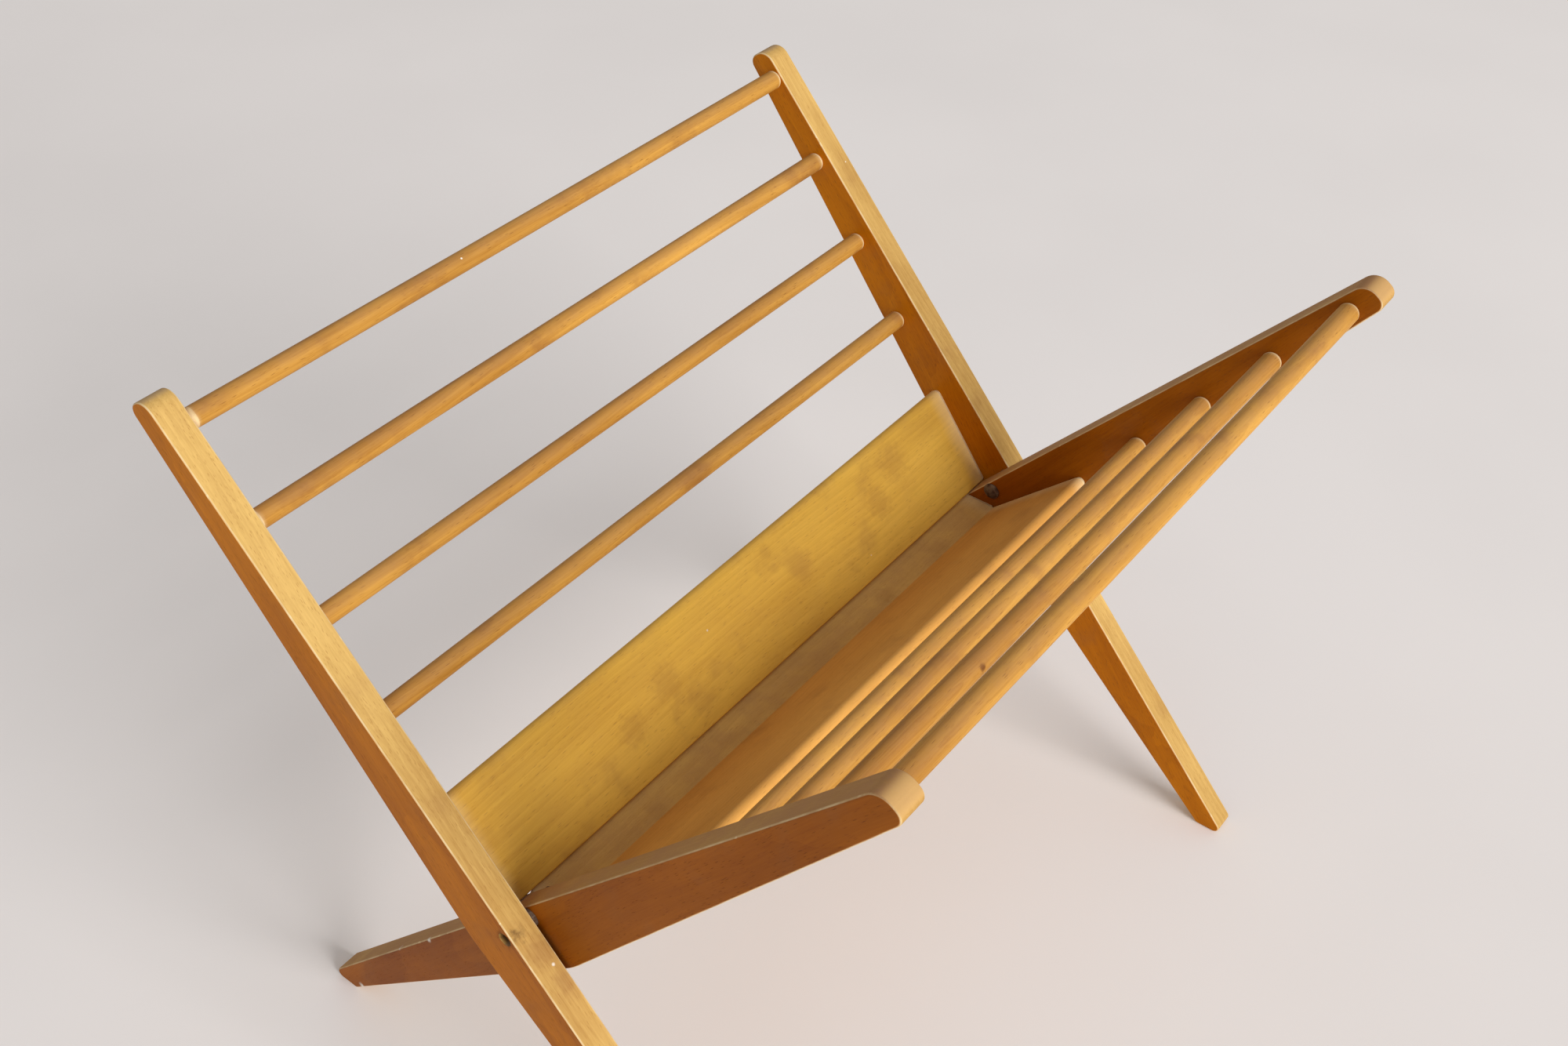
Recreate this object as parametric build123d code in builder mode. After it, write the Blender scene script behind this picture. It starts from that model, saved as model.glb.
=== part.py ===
# Folding magazine rack: two beech frames that cross on a pair of pivots.
# Lengths are in millimetres. +X runs along the dowels, the front is -Y and +Z is up.
# The origin is on the floor, midway between the four feet.
import os
from math import asin, cos, radians, sin, tan

from build123d import *

# How wide the rack is over the outer rails, and how far each frame leans from upright when open
rack_width = 420.0
frame_lean = radians(36.8)

# Side rails: the edge towards the magazines is straight, the other one has its bend at the pivot
rail_thickness = 14.0
rail_reach_up = 273.2
rail_reach_down = 244.5
rail_width_top = 14.2
rail_width_pivot = 34.8
rail_width_foot = 14.0
pivot_inset = 5.0
rail_top_inner_radius = 8.0
rail_top_outer_radius = 5.0
rail_bend_radius = 60.0
foot_back_radius = 3.0
foot_front_radius = 3.5
rail_edge_radius = 1.0

# Dowels: a row in each frame, evenly spaced from near the rails' tops down to the board's top edge
dowel_count = 4
dowel_diameter = 10.0
top_dowel_inset = 16.2
back_row_depth = 19.5
front_row_depth = 22.5
tenon_diameter = 7.6
tenon_length = 9.0

# Boards: each hangs below its frame's dowels from a rounded top edge
board_top_height = 58.6
board_thickness = 7.0
board_corner_radius = 1.0
board_bevel = 0.7
board_let_in = 4.0
front_board_extra_lean = radians(9.5)

# Shoulders: dowels and boards narrow over this length, just short of the rails they enter
shoulder_length = 1.6
shoulder_standoff = 0.3

# Floor strip that closes the bottom of the V between the boards
strip_thickness = 8.0
strip_drop = 1.6
strip_tuck = 1.9
strip_corner_radius = 0.8

# Pivots: a rivet through both rails, set over a washer in a counterbore, with a spacer between
shank_diameter = 5.0
rivet_head_overhang = 2.3
rivet_head_rim = 0.7
rivet_head_dome = 1.2
rivet_end_overhang = 0.5
rivet_end_rim = 0.3
rivet_end_dome = 1.0
rivet_washer_overhang = 0.9
rivet_washer_thickness = 0.8
counterbore_depth = 4.0
spacer_overhang = 2.3
spacer_thickness = 1.8

# Clearances
glue_clearance = 0.05
socket_end_clearance = 0.5
running_clearance = 0.05
face_clearance = 0.1
washer_clearance = 0.2
stop_clearance = 0.3

# Which way each frame leans its top along Y, and which way each side lies along X
outer_frame = 1
inner_frame = -1
sides = {"left": -1, "right": 1}

# Faces of the rails along X, and the slope and depth of their edges
half_width = rack_width / 2
outer_inside_x = half_width - rail_thickness
inner_outside_x = outer_inside_x - spacer_thickness - face_clearance
inner_inside_x = inner_outside_x - rail_thickness
straight_edge_slope = (rail_width_pivot - rail_width_top) / rail_reach_up
bent_edge_depth = rail_width_pivot - pivot_inset


def straight_edge_at(height):
    """How far a rail's straight edge lies from the pivot line, towards the magazines."""
    return pivot_inset - straight_edge_slope * height


# The pivot's height over the floor, and how far down each rail its sole ends at the straight edge
foot_back_depth = straight_edge_at(-rail_reach_down) - rail_width_foot
pivot_height = rail_reach_down * cos(frame_lean) - foot_back_depth * sin(frame_lean)
foot_front_reach = (pivot_height + pivot_inset * sin(frame_lean)) / (
    cos(frame_lean) - straight_edge_slope * sin(frame_lean)
)

# Heights of the dowels along the frames, from the top down
top_dowel_height = rail_reach_up - top_dowel_inset
dowel_pitch = (top_dowel_height - board_top_height) / dowel_count
dowel_heights = [top_dowel_height - number * dowel_pitch for number in range(dowel_count)]


def side_plane(frame):
    """Middle plane of the rack: its X runs up the frame from the pivot, its Y to the magazines."""
    return Plane(
        origin=(0, 0, pivot_height),
        x_dir=(0, frame * sin(frame_lean), cos(frame_lean)),
        z_dir=(frame, 0, 0),
    )


def pivot_plane(side, x):
    """Plane across the pivot line at a distance x from the middle, facing outwards on one side."""
    return Plane(origin=(side * x, 0, pivot_height), x_dir=(0, side, 0), z_dir=(side, 0, 0))


def lowest_board_height():
    """Height along the frame where the back board lands on the straight edges of the inner rails."""
    opening = 2 * frame_lean
    face_depth = back_row_depth - board_thickness / 2
    below_pivot = face_depth * (straight_edge_slope * sin(opening) - cos(opening))
    return (pivot_inset + stop_clearance + below_pivot) / (
        sin(opening) + straight_edge_slope * cos(opening)
    )


# The floor strip is tucked a little way under the lower front corner of the back board
board_corner = side_plane(outer_frame).from_local_coords(
    Vector(lowest_board_height(), board_thickness / 2 - back_row_depth)
)
strip_back_y = board_corner.Y + strip_tuck
strip_top = board_corner.Z - strip_drop
strip_bottom = strip_top - strip_thickness

# The front board hangs from the middle of its rounded top edge and leans more than its frame does
front_board_lean = frame_lean + front_board_extra_lean
front_board_plane = Plane(
    origin=side_plane(inner_frame).from_local_coords(Vector(board_top_height, -front_row_depth)),
    x_dir=(0, inner_frame * sin(front_board_lean), cos(front_board_lean)),
    z_dir=(inner_frame, 0, 0),
)


def front_board_face_y(z):
    """Y of the front board's inner face at height z."""
    face = front_board_plane.from_local_coords(Vector(0, board_thickness / 2))
    return face.Y + (face.Z - z) * tan(front_board_lean)


front_board_foot = front_board_plane.to_local_coords(
    Vector(0, front_board_face_y(strip_bottom), strip_bottom)
).X


def rail_outline():
    """Draws a rail from the side; its last edge is the sole, level with the floor."""
    with BuildLine() as outline:
        FilletPolyline(
            (rail_reach_up, straight_edge_at(rail_reach_up)),
            (rail_reach_up, -bent_edge_depth),
            (0, -bent_edge_depth),
            (-rail_reach_down, foot_back_depth),
            (-foot_front_reach, straight_edge_at(-foot_front_reach)),
            radius=[
                rail_top_inner_radius,
                rail_top_outer_radius,
                rail_bend_radius,
                foot_back_radius,
                foot_front_radius,
            ],
            close=True,
        )
    make_face(outline.edges())


def board_outline(foot_height, top_height, depth):
    """Draws a board from the side: small radii below, and a round edge on top."""
    half = board_thickness / 2
    with BuildLine() as outline:
        FilletPolyline(
            (top_height, half - depth),
            (foot_height, half - depth),
            (foot_height, -half - depth),
            (top_height, -half - depth),
            radius=board_corner_radius,
        )
        ThreePointArc(
            (top_height, -half - depth), (top_height + half, -depth), (top_height, half - depth)
        )
    make_face(outline.edges())


def back_board_outline():
    """Draws the back board, in line with the back dowels."""
    board_outline(lowest_board_height(), board_top_height, back_row_depth)


def front_board_outline():
    """Draws the front board in its own plane."""
    board_outline(front_board_foot, 0, 0)


def strip_outline():
    """Draws the floor strip, bevelled to lie against the front board."""
    with BuildLine() as outline:
        FilletPolyline(
            (front_board_face_y(strip_top), strip_top),
            (strip_back_y, strip_top),
            (strip_back_y, strip_bottom),
            (front_board_face_y(strip_bottom), strip_bottom),
            radius=[0, strip_corner_radius, strip_corner_radius, 0],
            close=True,
        )
    make_face(outline.edges())


def side_rail(frame, side, inside_x, row_depth, let_in_pieces):
    """Side rail: softened edges, blind dowel sockets, grooves for what is let in, and a pivot bore."""
    softened = min(rail_edge_radius, rail_thickness / 3, foot_back_radius / 2)
    rail_offset = frame * side * (inside_x + rail_thickness / 2)
    washer_diameter = shank_diameter + 2 * rivet_washer_overhang
    with BuildPart() as rail:
        with BuildSketch(side_plane(frame).offset(rail_offset)):
            rail_outline()
        extrude(amount=rail_thickness / 2, both=True)
        fillet(rail.faces().filter_by(Axis.X).edges(), softened)
        with BuildSketch(side_plane(frame)):
            with Locations(*[(height, -row_depth) for height in dowel_heights]):
                Circle(tenon_diameter / 2 + glue_clearance)
        extrude(amount=inside_x + tenon_length + socket_end_clearance, both=True, mode=Mode.SUBTRACT)
        for plane, outline in let_in_pieces:
            with BuildSketch(plane):
                outline()
                offset(amount=glue_clearance - board_bevel, kind=Kind.INTERSECTION)
            extrude(amount=inside_x + board_let_in, both=True, mode=Mode.SUBTRACT)
        with Locations(pivot_plane(side, inside_x + rail_thickness)):
            if frame == outer_frame:
                CounterBoreHole(
                    shank_diameter / 2,
                    washer_diameter / 2 + washer_clearance,
                    counterbore_depth,
                    2 * rail_thickness,
                )
            else:
                Hole(shank_diameter / 2 + running_clearance, 2 * rail_thickness)
    return rail


def dowel(frame, inside_x, row_depth, height):
    """Turned dowel with a short cone down to the tenon at each end."""
    centre = side_plane(frame).from_local_coords(Vector(height, -row_depth))
    shoulder_x = inside_x - shoulder_standoff
    body_x = shoulder_x - shoulder_length
    tenon_x = inside_x + tenon_length
    with BuildPart() as turned:
        with BuildSketch(Plane(origin=centre, x_dir=(1, 0, 0), z_dir=(0, -1, 0))):
            with BuildLine():
                Polyline(
                    (-tenon_x, 0),
                    (-tenon_x, tenon_diameter / 2),
                    (-shoulder_x, tenon_diameter / 2),
                    (-body_x, dowel_diameter / 2),
                    (body_x, dowel_diameter / 2),
                    (shoulder_x, tenon_diameter / 2),
                    (tenon_x, tenon_diameter / 2),
                    (tenon_x, 0),
                    close=True,
                )
            make_face()
        revolve(axis=Axis(centre, (1, 0, 0)))
    return turned


def across(plane, outline, inside_x):
    """Straight piece across the rack, with bevelled ends and tongues that are let into the rails."""
    with BuildPart() as piece:
        with BuildSketch(plane):
            outline()
        extrude(amount=inside_x - shoulder_standoff, both=True)
        for end in piece.faces().filter_by(Axis.X):
            chamfer(end.edges(), board_bevel, shoulder_length, reference=end)
        with BuildSketch(plane):
            outline()
            offset(amount=-board_bevel, kind=Kind.INTERSECTION)
        extrude(amount=inside_x + board_let_in, both=True)
    return piece


def dome_middle(base_x, rise, radius, outward):
    """Point halfway along a dome's section, from its rim to its top on the axis."""
    ball_radius = (radius**2 + rise**2) / (2 * rise)
    half_angle = asin(min(1, radius / ball_radius)) / 2
    return (base_x + outward * (rise - ball_radius * (1 - cos(half_angle))), ball_radius * sin(half_angle))


def pivot_rivet(side):
    """Rivet: domed head inside the inner rail, shank through both rails, end set in the counterbore."""
    head_x = inner_inside_x - face_clearance
    rim_x = head_x - rivet_head_rim
    end_x = half_width - counterbore_depth + rivet_washer_thickness
    end_rim_x = end_x + rivet_end_rim
    shank_radius = shank_diameter / 2
    head_radius = shank_radius + rivet_head_overhang
    end_radius = shank_radius + rivet_end_overhang
    axis_plane = Plane(origin=(0, 0, pivot_height), x_dir=(side, 0, 0), z_dir=(0, -side, 0))
    with BuildPart() as rivet:
        with BuildSketch(axis_plane):
            with BuildLine():
                Polyline(
                    (rim_x, head_radius),
                    (head_x, head_radius),
                    (head_x, shank_radius),
                    (end_x, shank_radius),
                    (end_x, end_radius),
                    (end_rim_x, end_radius),
                )
                ThreePointArc(
                    (end_rim_x, end_radius),
                    dome_middle(end_rim_x, rivet_end_dome, end_radius, 1),
                    (end_rim_x + rivet_end_dome, 0),
                )
                Line((end_rim_x + rivet_end_dome, 0), (rim_x - rivet_head_dome, 0))
                ThreePointArc(
                    (rim_x - rivet_head_dome, 0),
                    dome_middle(rim_x, rivet_head_dome, head_radius, -1),
                    (rim_x, head_radius),
                )
            make_face()
        revolve(axis=Axis((0, 0, pivot_height), (1, 0, 0)))
    return rivet


def washer(side, inner_face_x, overhang, thickness):
    """Flat washer on a rivet's shank, its inner face at a distance from the middle."""
    with BuildPart() as ring:
        with BuildSketch(pivot_plane(side, inner_face_x)):
            Circle(shank_diameter / 2 + overhang)
            Circle(shank_diameter / 2, mode=Mode.SUBTRACT)
        extrude(amount=thickness)
    return ring


def save(piece, name):
    """Labels a finished piece and writes its file."""
    piece.part.label = name
    export_step(piece.part, f"parts/{name}.step")


os.makedirs("parts", exist_ok=True)

# Rails and pivots, one set on each side
for side_name, side in sides.items():
    outer_rail = side_rail(
        outer_frame,
        side,
        outer_inside_x,
        back_row_depth,
        [(side_plane(outer_frame), back_board_outline)],
    )
    save(outer_rail, f"outer_rail_{side_name}")
    inner_rail = side_rail(
        inner_frame,
        side,
        inner_inside_x,
        front_row_depth,
        [(front_board_plane, front_board_outline), (Plane.YZ, strip_outline)],
    )
    save(inner_rail, f"inner_rail_{side_name}")
    save(pivot_rivet(side), f"pivot_rivet_{side_name}")
    rivet_washer = washer(
        side, half_width - counterbore_depth, rivet_washer_overhang, rivet_washer_thickness
    )
    save(rivet_washer, f"rivet_washer_{side_name}")
    spacer_washer = washer(side, outer_inside_x - spacer_thickness, spacer_overhang, spacer_thickness)
    save(spacer_washer, f"spacer_washer_{side_name}")

# Dowels, numbered from the top down
for number, height in enumerate(dowel_heights, start=1):
    save(dowel(outer_frame, outer_inside_x, back_row_depth, height), f"back_dowel_{number}")
    save(dowel(inner_frame, inner_inside_x, front_row_depth, height), f"front_dowel_{number}")

# Boards and floor strip
back_board = across(side_plane(outer_frame), back_board_outline, outer_inside_x)
save(back_board, "back_board")
front_board = across(front_board_plane, front_board_outline, inner_inside_x)
save(front_board, "front_board")
floor_strip = across(Plane.YZ, strip_outline, inner_inside_x)
save(floor_strip, "floor_strip")
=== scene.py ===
# Folding magazine rack in varnished beech: its finish, its turned dowels, and the stage it stands on.
# Lengths are in metres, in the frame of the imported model: +X runs along the dowels, the front is -Y
# and +Z is up.
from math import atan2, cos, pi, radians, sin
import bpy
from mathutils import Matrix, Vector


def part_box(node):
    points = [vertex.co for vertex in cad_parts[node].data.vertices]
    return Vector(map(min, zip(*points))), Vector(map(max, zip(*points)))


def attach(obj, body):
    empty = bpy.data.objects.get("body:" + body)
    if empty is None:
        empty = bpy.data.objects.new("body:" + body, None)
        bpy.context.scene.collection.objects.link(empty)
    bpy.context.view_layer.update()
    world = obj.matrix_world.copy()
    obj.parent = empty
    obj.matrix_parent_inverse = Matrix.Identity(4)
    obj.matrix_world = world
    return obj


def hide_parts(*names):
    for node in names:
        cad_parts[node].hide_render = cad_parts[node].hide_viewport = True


bl_info = {
    "name": "Beech magazine rack",
    "version": (1, 0, 0),
    "blender": (4, 5, 0),
    "location": "3D View > Sidebar > Rack",
    "description": "Finishes a folding beech magazine rack around its solid model",
    "category": "Object",
}

import bpy
from bpy.props import FloatProperty, FloatVectorProperty, IntProperty, PointerProperty
from mathutils import Euler, Vector

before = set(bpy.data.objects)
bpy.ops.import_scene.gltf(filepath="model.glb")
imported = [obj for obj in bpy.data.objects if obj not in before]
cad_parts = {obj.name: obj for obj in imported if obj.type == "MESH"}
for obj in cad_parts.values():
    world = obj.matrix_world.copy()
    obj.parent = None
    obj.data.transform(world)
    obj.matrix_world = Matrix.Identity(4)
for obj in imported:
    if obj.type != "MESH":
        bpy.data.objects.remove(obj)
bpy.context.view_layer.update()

SIDES = ("left", "right")
DOWEL_NUMBERS = (1, 2, 3, 4)
MM = 0.001


def srgb(red, green, blue):
    """Scene-linear colour of an 8-bit display colour, by the sRGB formula."""
    return tuple(
        (value / 255 / 12.92) if value <= 10 else ((value / 255 + 0.055) / 1.055) ** 2.4
        for value in (red, green, blue)
    )


# Places and sizes read from the solid model
def centre_of(node):
    """Middle of a solid's box."""
    lowest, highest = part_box(node)
    return (lowest + highest) / 2


PIVOT = Vector((0, 0, centre_of("spacer_washer_left").z))
ROW_STEPS = {
    row: centre_of(f"{row}_dowel_2") - centre_of(f"{row}_dowel_1") for row in ("back", "front")
}
LEAN = atan2(-ROW_STEPS["back"].y, -ROW_STEPS["back"].z)
INSIDE = {
    "back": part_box("outer_rail_right")[0].x,
    "front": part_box("inner_rail_right")[0].x,
}
DOWEL_RADIUS = (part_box("back_dowel_1")[1].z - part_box("back_dowel_1")[0].z) / 2

# Lean of the front board, and the distance from a rail to where a dowel's shoulder meets its body
FRONT_BOARD_LEAN = radians(46.3)
SHOULDER_END = 1.9 * MM


def colour(name, description, *display):
    """A colour that a user would change, from its 8-bit display values."""
    return FloatVectorProperty(
        name=name,
        description=description,
        default=srgb(*display),
        subtype="COLOR",
        size=3,
        min=0,
        max=1,
    )


def length(name, description, default):
    """A length that a user would change."""
    return FloatProperty(
        name=name,
        description=description,
        default=default,
        subtype="DISTANCE",
        unit="LENGTH",
        min=0,
        precision=5,
    )


def share(name, description, default):
    """An amount from none to full."""
    return FloatProperty(
        name=name, description=description, default=default, subtype="FACTOR", min=0, max=1
    )


class RackBeechSettings(bpy.types.PropertyGroup):
    """Colours, grain and wear of the varnished beech."""

    # Rail colours: the wide sides' colours are darker and oranger than the edges', partly as painted
    # shade on the sideways faces; the inner rails' colours are darker than the outer rails'.
    outer_edge: colour("Outer rail edges", "Varnish on the outer rails' narrow edges", 202, 163, 93)
    outer_side_shaded: colour("Outer rail sides", "Varnish on the outer rails' wide sides", 189, 111, 4)
    inner_edge: colour("Inner rail edges", "Varnish on the inner rails' narrow edges", 184, 141, 72)
    inner_side_shaded: colour("Inner rail sides", "Varnish on the inner rails' wide sides", 150, 82, 8)
    back_board: colour("Back board", "Varnish on the back board", 226, 178, 72)
    front_board: colour("Front board", "Varnish on the front board", 214, 156, 76)
    strip: colour("Floor strip", "Varnish on the floor strip", 216, 172, 92)
    dowel: colour("Dowels", "Varnish on the dowels", 192, 140, 62)
    # Pale bare wood: real wear on the rails' edges, and on the ends of dowels and boards partly a
    # painted reflection.
    bare_wood_and_sheen: colour("Bare wood", "Beech where the varnish is thin or worn away", 232, 208, 160)
    end_grain: colour("End grain", "Dusty end grain of the outer rails", 176, 146, 112)
    clean_end: colour("Clean end grain", "Paler end grain of the inner rails", 206, 164, 104)
    fleck: colour("Flecks", "The short dark dashes of beech", 104, 58, 22)
    edge_fleck: colour("Edge flecks", "The fainter dashes on the rails' edges", 166, 118, 58)
    # Painted shade: a dark colour laid round each pivot rivet, where the hole in the outer rail lies in
    # shade.
    pivot_hole_shade: colour("Grime", "Dark grime in the holes over the pivots", 66, 38, 20)
    stain: colour("Stains", "Old handling marks and stains", 138, 88, 48)
    dust: colour("Dust", "Dust that lies on what faces up", 170, 126, 86)
    crumb: colour("Crumbs", "Specks of pale grit", 240, 234, 220)
    ring_spacing: length("Ring spacing", "Distance between growth rings", 3.4 * MM)
    fleck_length: length("Fleck length", "Length of the longest flecks", 3 * MM)
    dust_amount: share("Dust", "How much dust lies on the rack", 0.6)
    wear_amount: share("Edge wear", "How worn the rails' edges are", 0.8)


class RackDowelSettings(bpy.types.PropertyGroup):
    """Sizes of the turned dowels."""

    shoulder: length("Shoulder", "Length of the rounded shoulder at each end", 1.6 * MM)
    standoff: length("Standoff", "Gap between the shoulder and the rail", 0.3 * MM)
    tenon_radius: length("Tenon radius", "Radius of the part that enters the rail", 3.8 * MM)
    bow: length("Bow", "How far the dowels bend away from straight", 0.5 * MM)
    seed: IntProperty(name="Seed", description="Picks the way that each dowel bends", default=3, min=0)


class RackPivotSettings(bpy.types.PropertyGroup):
    """Colours of the pivots."""

    steel: colour("Steel", "Dull metal of the rivets and washers", 124, 108, 94)
    tarnish: colour("Tarnish", "Brown tarnish on the metal", 74, 52, 40)


class RackStageSettings(bpy.types.PropertyGroup):
    """Floor, lights and camera."""

    floor: colour("Floor", "Colour of the plain floor", 241, 235, 232)
    key_power: FloatProperty(
        name="Key light", description="Power of the large soft light, in watts", default=1440, min=0
    )
    sky: FloatProperty(
        name="Sky", description="Strength of the even light all round", default=0.45, min=0
    )
    backdrop: FloatProperty(
        name="Backdrop",
        description="Strength of the background that is seen past the floor",
        default=0.75,
        min=0,
    )
    aim: FloatVectorProperty(
        name="Aim",
        description="Point that the camera looks at",
        default=(0.0849, 0.0753, 0.1901),
        subtype="TRANSLATION",
        unit="LENGTH",
        size=3,
    )
    distance: length("Distance", "From the camera to its aim", 0.9759)
    heading: FloatProperty(
        name="Heading",
        description="Which way the camera looks, from +Y towards +X",
        default=radians(52.636),
        subtype="ANGLE",
        unit="ROTATION",
    )
    tilt: FloatProperty(
        name="Tilt",
        description="How far the camera looks down",
        default=radians(40.484),
        subtype="ANGLE",
        unit="ROTATION",
    )
    roll: FloatProperty(
        name="Roll",
        description="How far the camera turns about its own axis",
        default=radians(0.587),
        subtype="ANGLE",
        unit="ROTATION",
    )
    lens: FloatProperty(name="Lens", description="Focal length in millimetres", default=40.433, min=1)


# Node tree helpers
def connect(tree, value, socket):
    """Links an output to a socket, or sets the socket's own value."""
    if isinstance(value, bpy.types.NodeSocket):
        tree.links.new(value, socket)
    elif getattr(socket, "type", "") == "RGBA" and len(value) == 3:
        socket.default_value = (*value, 1)
    else:
        socket.default_value = value


def add(tree, kind, inputs=None, **settings):
    """A node with its settings, and its inputs linked or set."""
    node = tree.nodes.new(kind)
    for name, value in settings.items():
        setattr(node, name, value)
    for name, value in (inputs or {}).items():
        connect(tree, value, node.inputs[name])
    return node


def calculate(tree, operation, *values, clamp=False):
    """Result of a Math node."""
    node = tree.nodes.new("ShaderNodeMath")
    node.operation = operation
    node.use_clamp = clamp
    for socket, value in zip(node.inputs, values):
        connect(tree, value, socket)
    return node.outputs[0]


def vector_calculate(tree, operation, *values):
    """Result of a Vector Math node."""
    node = tree.nodes.new("ShaderNodeVectorMath")
    node.operation = operation
    for socket, value in zip(node.inputs, values):
        connect(tree, value, socket)
    return node.outputs["Value"] if operation == "DISTANCE" else node.outputs["Vector"]


def vector_scale(tree, vector, factor):
    """Vector times a number."""
    node = add(tree, "ShaderNodeVectorMath", {"Vector": vector}, operation="SCALE")
    connect(tree, factor, node.inputs["Scale"])
    return node.outputs["Vector"]


def ramp(tree, value, low, high, start=0.0, end=1.0, smooth=True):
    """Value between start and end as the input goes from low to high."""
    node = add(
        tree,
        "ShaderNodeMapRange",
        {"Value": value, "From Min": low, "From Max": high, "To Min": start, "To Max": end},
        interpolation_type="SMOOTHSTEP" if smooth else "LINEAR",
    )
    return node.outputs[0]


def mix(tree, factor, first, second, blend="MIX"):
    """Mix of two colours."""
    node = add(tree, "ShaderNodeMix", data_type="RGBA", blend_type=blend)
    sockets = {socket.identifier: socket for socket in node.inputs}
    connect(tree, factor, sockets["Factor_Float"])
    connect(tree, first, sockets["A_Color"])
    connect(tree, second, sockets["B_Color"])
    return next(socket for socket in node.outputs if socket.identifier == "Result_Color")


def noise(tree, vector, scale, detail=2.0, roughness=0.5):
    """Smooth noise between 0 and 1."""
    inputs = {"Vector": vector, "Scale": scale, "Detail": detail, "Roughness": roughness}
    return add(tree, "ShaderNodeTexNoise", inputs).outputs[0]


def patches(tree, vector, scale, detail, low, high, roughness=0.5, start=0.0, end=1.0):
    """Noise turned into patches: start where it is below low, end where it is above high."""
    return ramp(tree, noise(tree, vector, scale, detail, roughness), low, high, start, end)


def scattered(tree, vector, scale, channel, share_of_cells):
    """Distance from the middle of each random cell, and whether that cell was chosen."""
    inputs = {"Vector": vector, "Scale": scale, "Randomness": 1.0}
    cells = add(tree, "ShaderNodeTexVoronoi", inputs).outputs
    drawn = add(tree, "ShaderNodeSeparateColor", {"Color": cells["Color"]}).outputs[channel]
    return cells["Distance"], calculate(tree, "LESS_THAN", drawn, share_of_cells)


def stretched(tree, vector, scale):
    """Coordinates scaled by a vector."""
    return vector_calculate(tree, "MULTIPLY", vector, scale)


def split(tree, vector):
    """X, Y and Z of a vector."""
    return add(tree, "ShaderNodeSeparateXYZ", {"Vector": vector}).outputs


def new_group(name, inputs, outputs):
    """Shader node group with named sockets; returns the tree and its two ends."""
    tree = bpy.data.node_groups.new(name, "ShaderNodeTree")
    kinds = {"vector": "NodeSocketVector", "value": "NodeSocketFloat", "colour": "NodeSocketColor"}
    for socket_name, kind in inputs.items():
        tree.interface.new_socket(socket_name, in_out="INPUT", socket_type=kinds[kind])
    for socket_name, kind in outputs.items():
        tree.interface.new_socket(socket_name, in_out="OUTPUT", socket_type=kinds[kind])
    return tree, tree.nodes.new("NodeGroupInput").outputs, tree.nodes.new("NodeGroupOutput").inputs


def use_group(tree, group, inputs):
    """Outputs of a node group placed in a material."""
    node = tree.nodes.new("ShaderNodeGroup")
    node.node_tree = group
    for name, value in inputs.items():
        connect(tree, value, node.inputs[name])
    return node.outputs


# Effects that several materials share. Their noise scales are in bumps per metre, and each pair in
# brackets says where an effect begins and where it is full.
SWAY = {"Scale": 11.0, "Detail": 1.0}
SWAY_STRETCH = (1, 1, 0.35)
SWAY_REACH = 20 * MM
WAVE_PERIOD = 2 * pi / 20
RINGS = {"Distortion": 1.2, "Detail": 2.0, "Detail Scale": 0.6}
CLOUDS = {"scale": 26.0, "along": 0.3, "detail": 3.0}
STREAKS = {"scale": 260.0, "along": 0.04, "detail": 2.0}
FIBRES = {"scale": 1500.0, "along": 0.03, "detail": 3.0}
RING_LIGHTNESS = 0.14
CLOUD_LIGHTNESS = 1.3
STREAK_LIGHTNESS = 0.35
FIBRE_LIGHTNESS = 0.5
FINE_FLECK_LIGHTNESS = -0.5
DARKER = (0.66, 0.55, 0.42)
LIGHTER = (1.26, 1.32, 1.4)
FLECK_WIDTH = 0.7 * MM
FINE_FLECK_WIDTH = 0.4 * MM
FINE_FLECK_SHARE = 0.5
FLECK_CELL_LENGTH = 2.5
FLECK_BORDER = (0.08, 0.26)
FLECK_STRENGTH = 0.65
FLECK_RELIEF = -0.6
FIBRE_RELIEF = 0.4
WORN_RELIEF = 3.0
WORN_SCALE = 70.0
ARRIS_BEGIN = (0.1, 0.5)
ARRIS_END = (0.8, 0.99)
UNEVEN_WEAR = {"scale": 90.0, "detail": 3.0, "low": 0.3, "high": 0.65, "start": 0.5}
CHIPS = {"scale": 210.0, "detail": 2.0, "low": 0.66, "high": 0.7}
FACES_UP = (0.25, 0.95)
DUST_PATCHES = {"scale": 70.0, "detail": 4.0, "roughness": 0.6, "low": 0.25, "high": 0.7, "start": 0.45}
DUST_GRAINS = {"scale": 2400.0, "detail": 1.0, "low": 0.3, "high": 0.7, "start": 0.7}
CRUMB_CELLS = 55.0
CRUMB_SHARE = 0.4
CRUMB_SIZE = 0.03
# Share of pale colour near the rails: thin varnish together with a painted reflection on the grazing
# ends.
THIN_VARNISH_AND_SHEEN = 0.55
FADE_WANDER = 6 * MM
SHOULDER_WANDER = 1 * MM
SHOULDER_BORDER = 0.5 * MM
BLOTS = {"scale": 34.0, "detail": 4.0, "roughness": 0.55, "low": 0.52, "high": 0.74}
MARK_RAGGED_SCALE = 350.0
MARK_RAGGED_DETAIL = 3.0
MARK_RAGGED_REACH = 0.9
MARK_BORDER = (0.25, 1.0)


def grain_noise(tree, vector, scale, along, detail):
    """Noise drawn out along Z, between -0.5 and 0.5."""
    value = noise(tree, stretched(tree, vector, (1, 1, along)), scale, detail)
    return calculate(tree, "SUBTRACT", value, 0.5)


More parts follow.
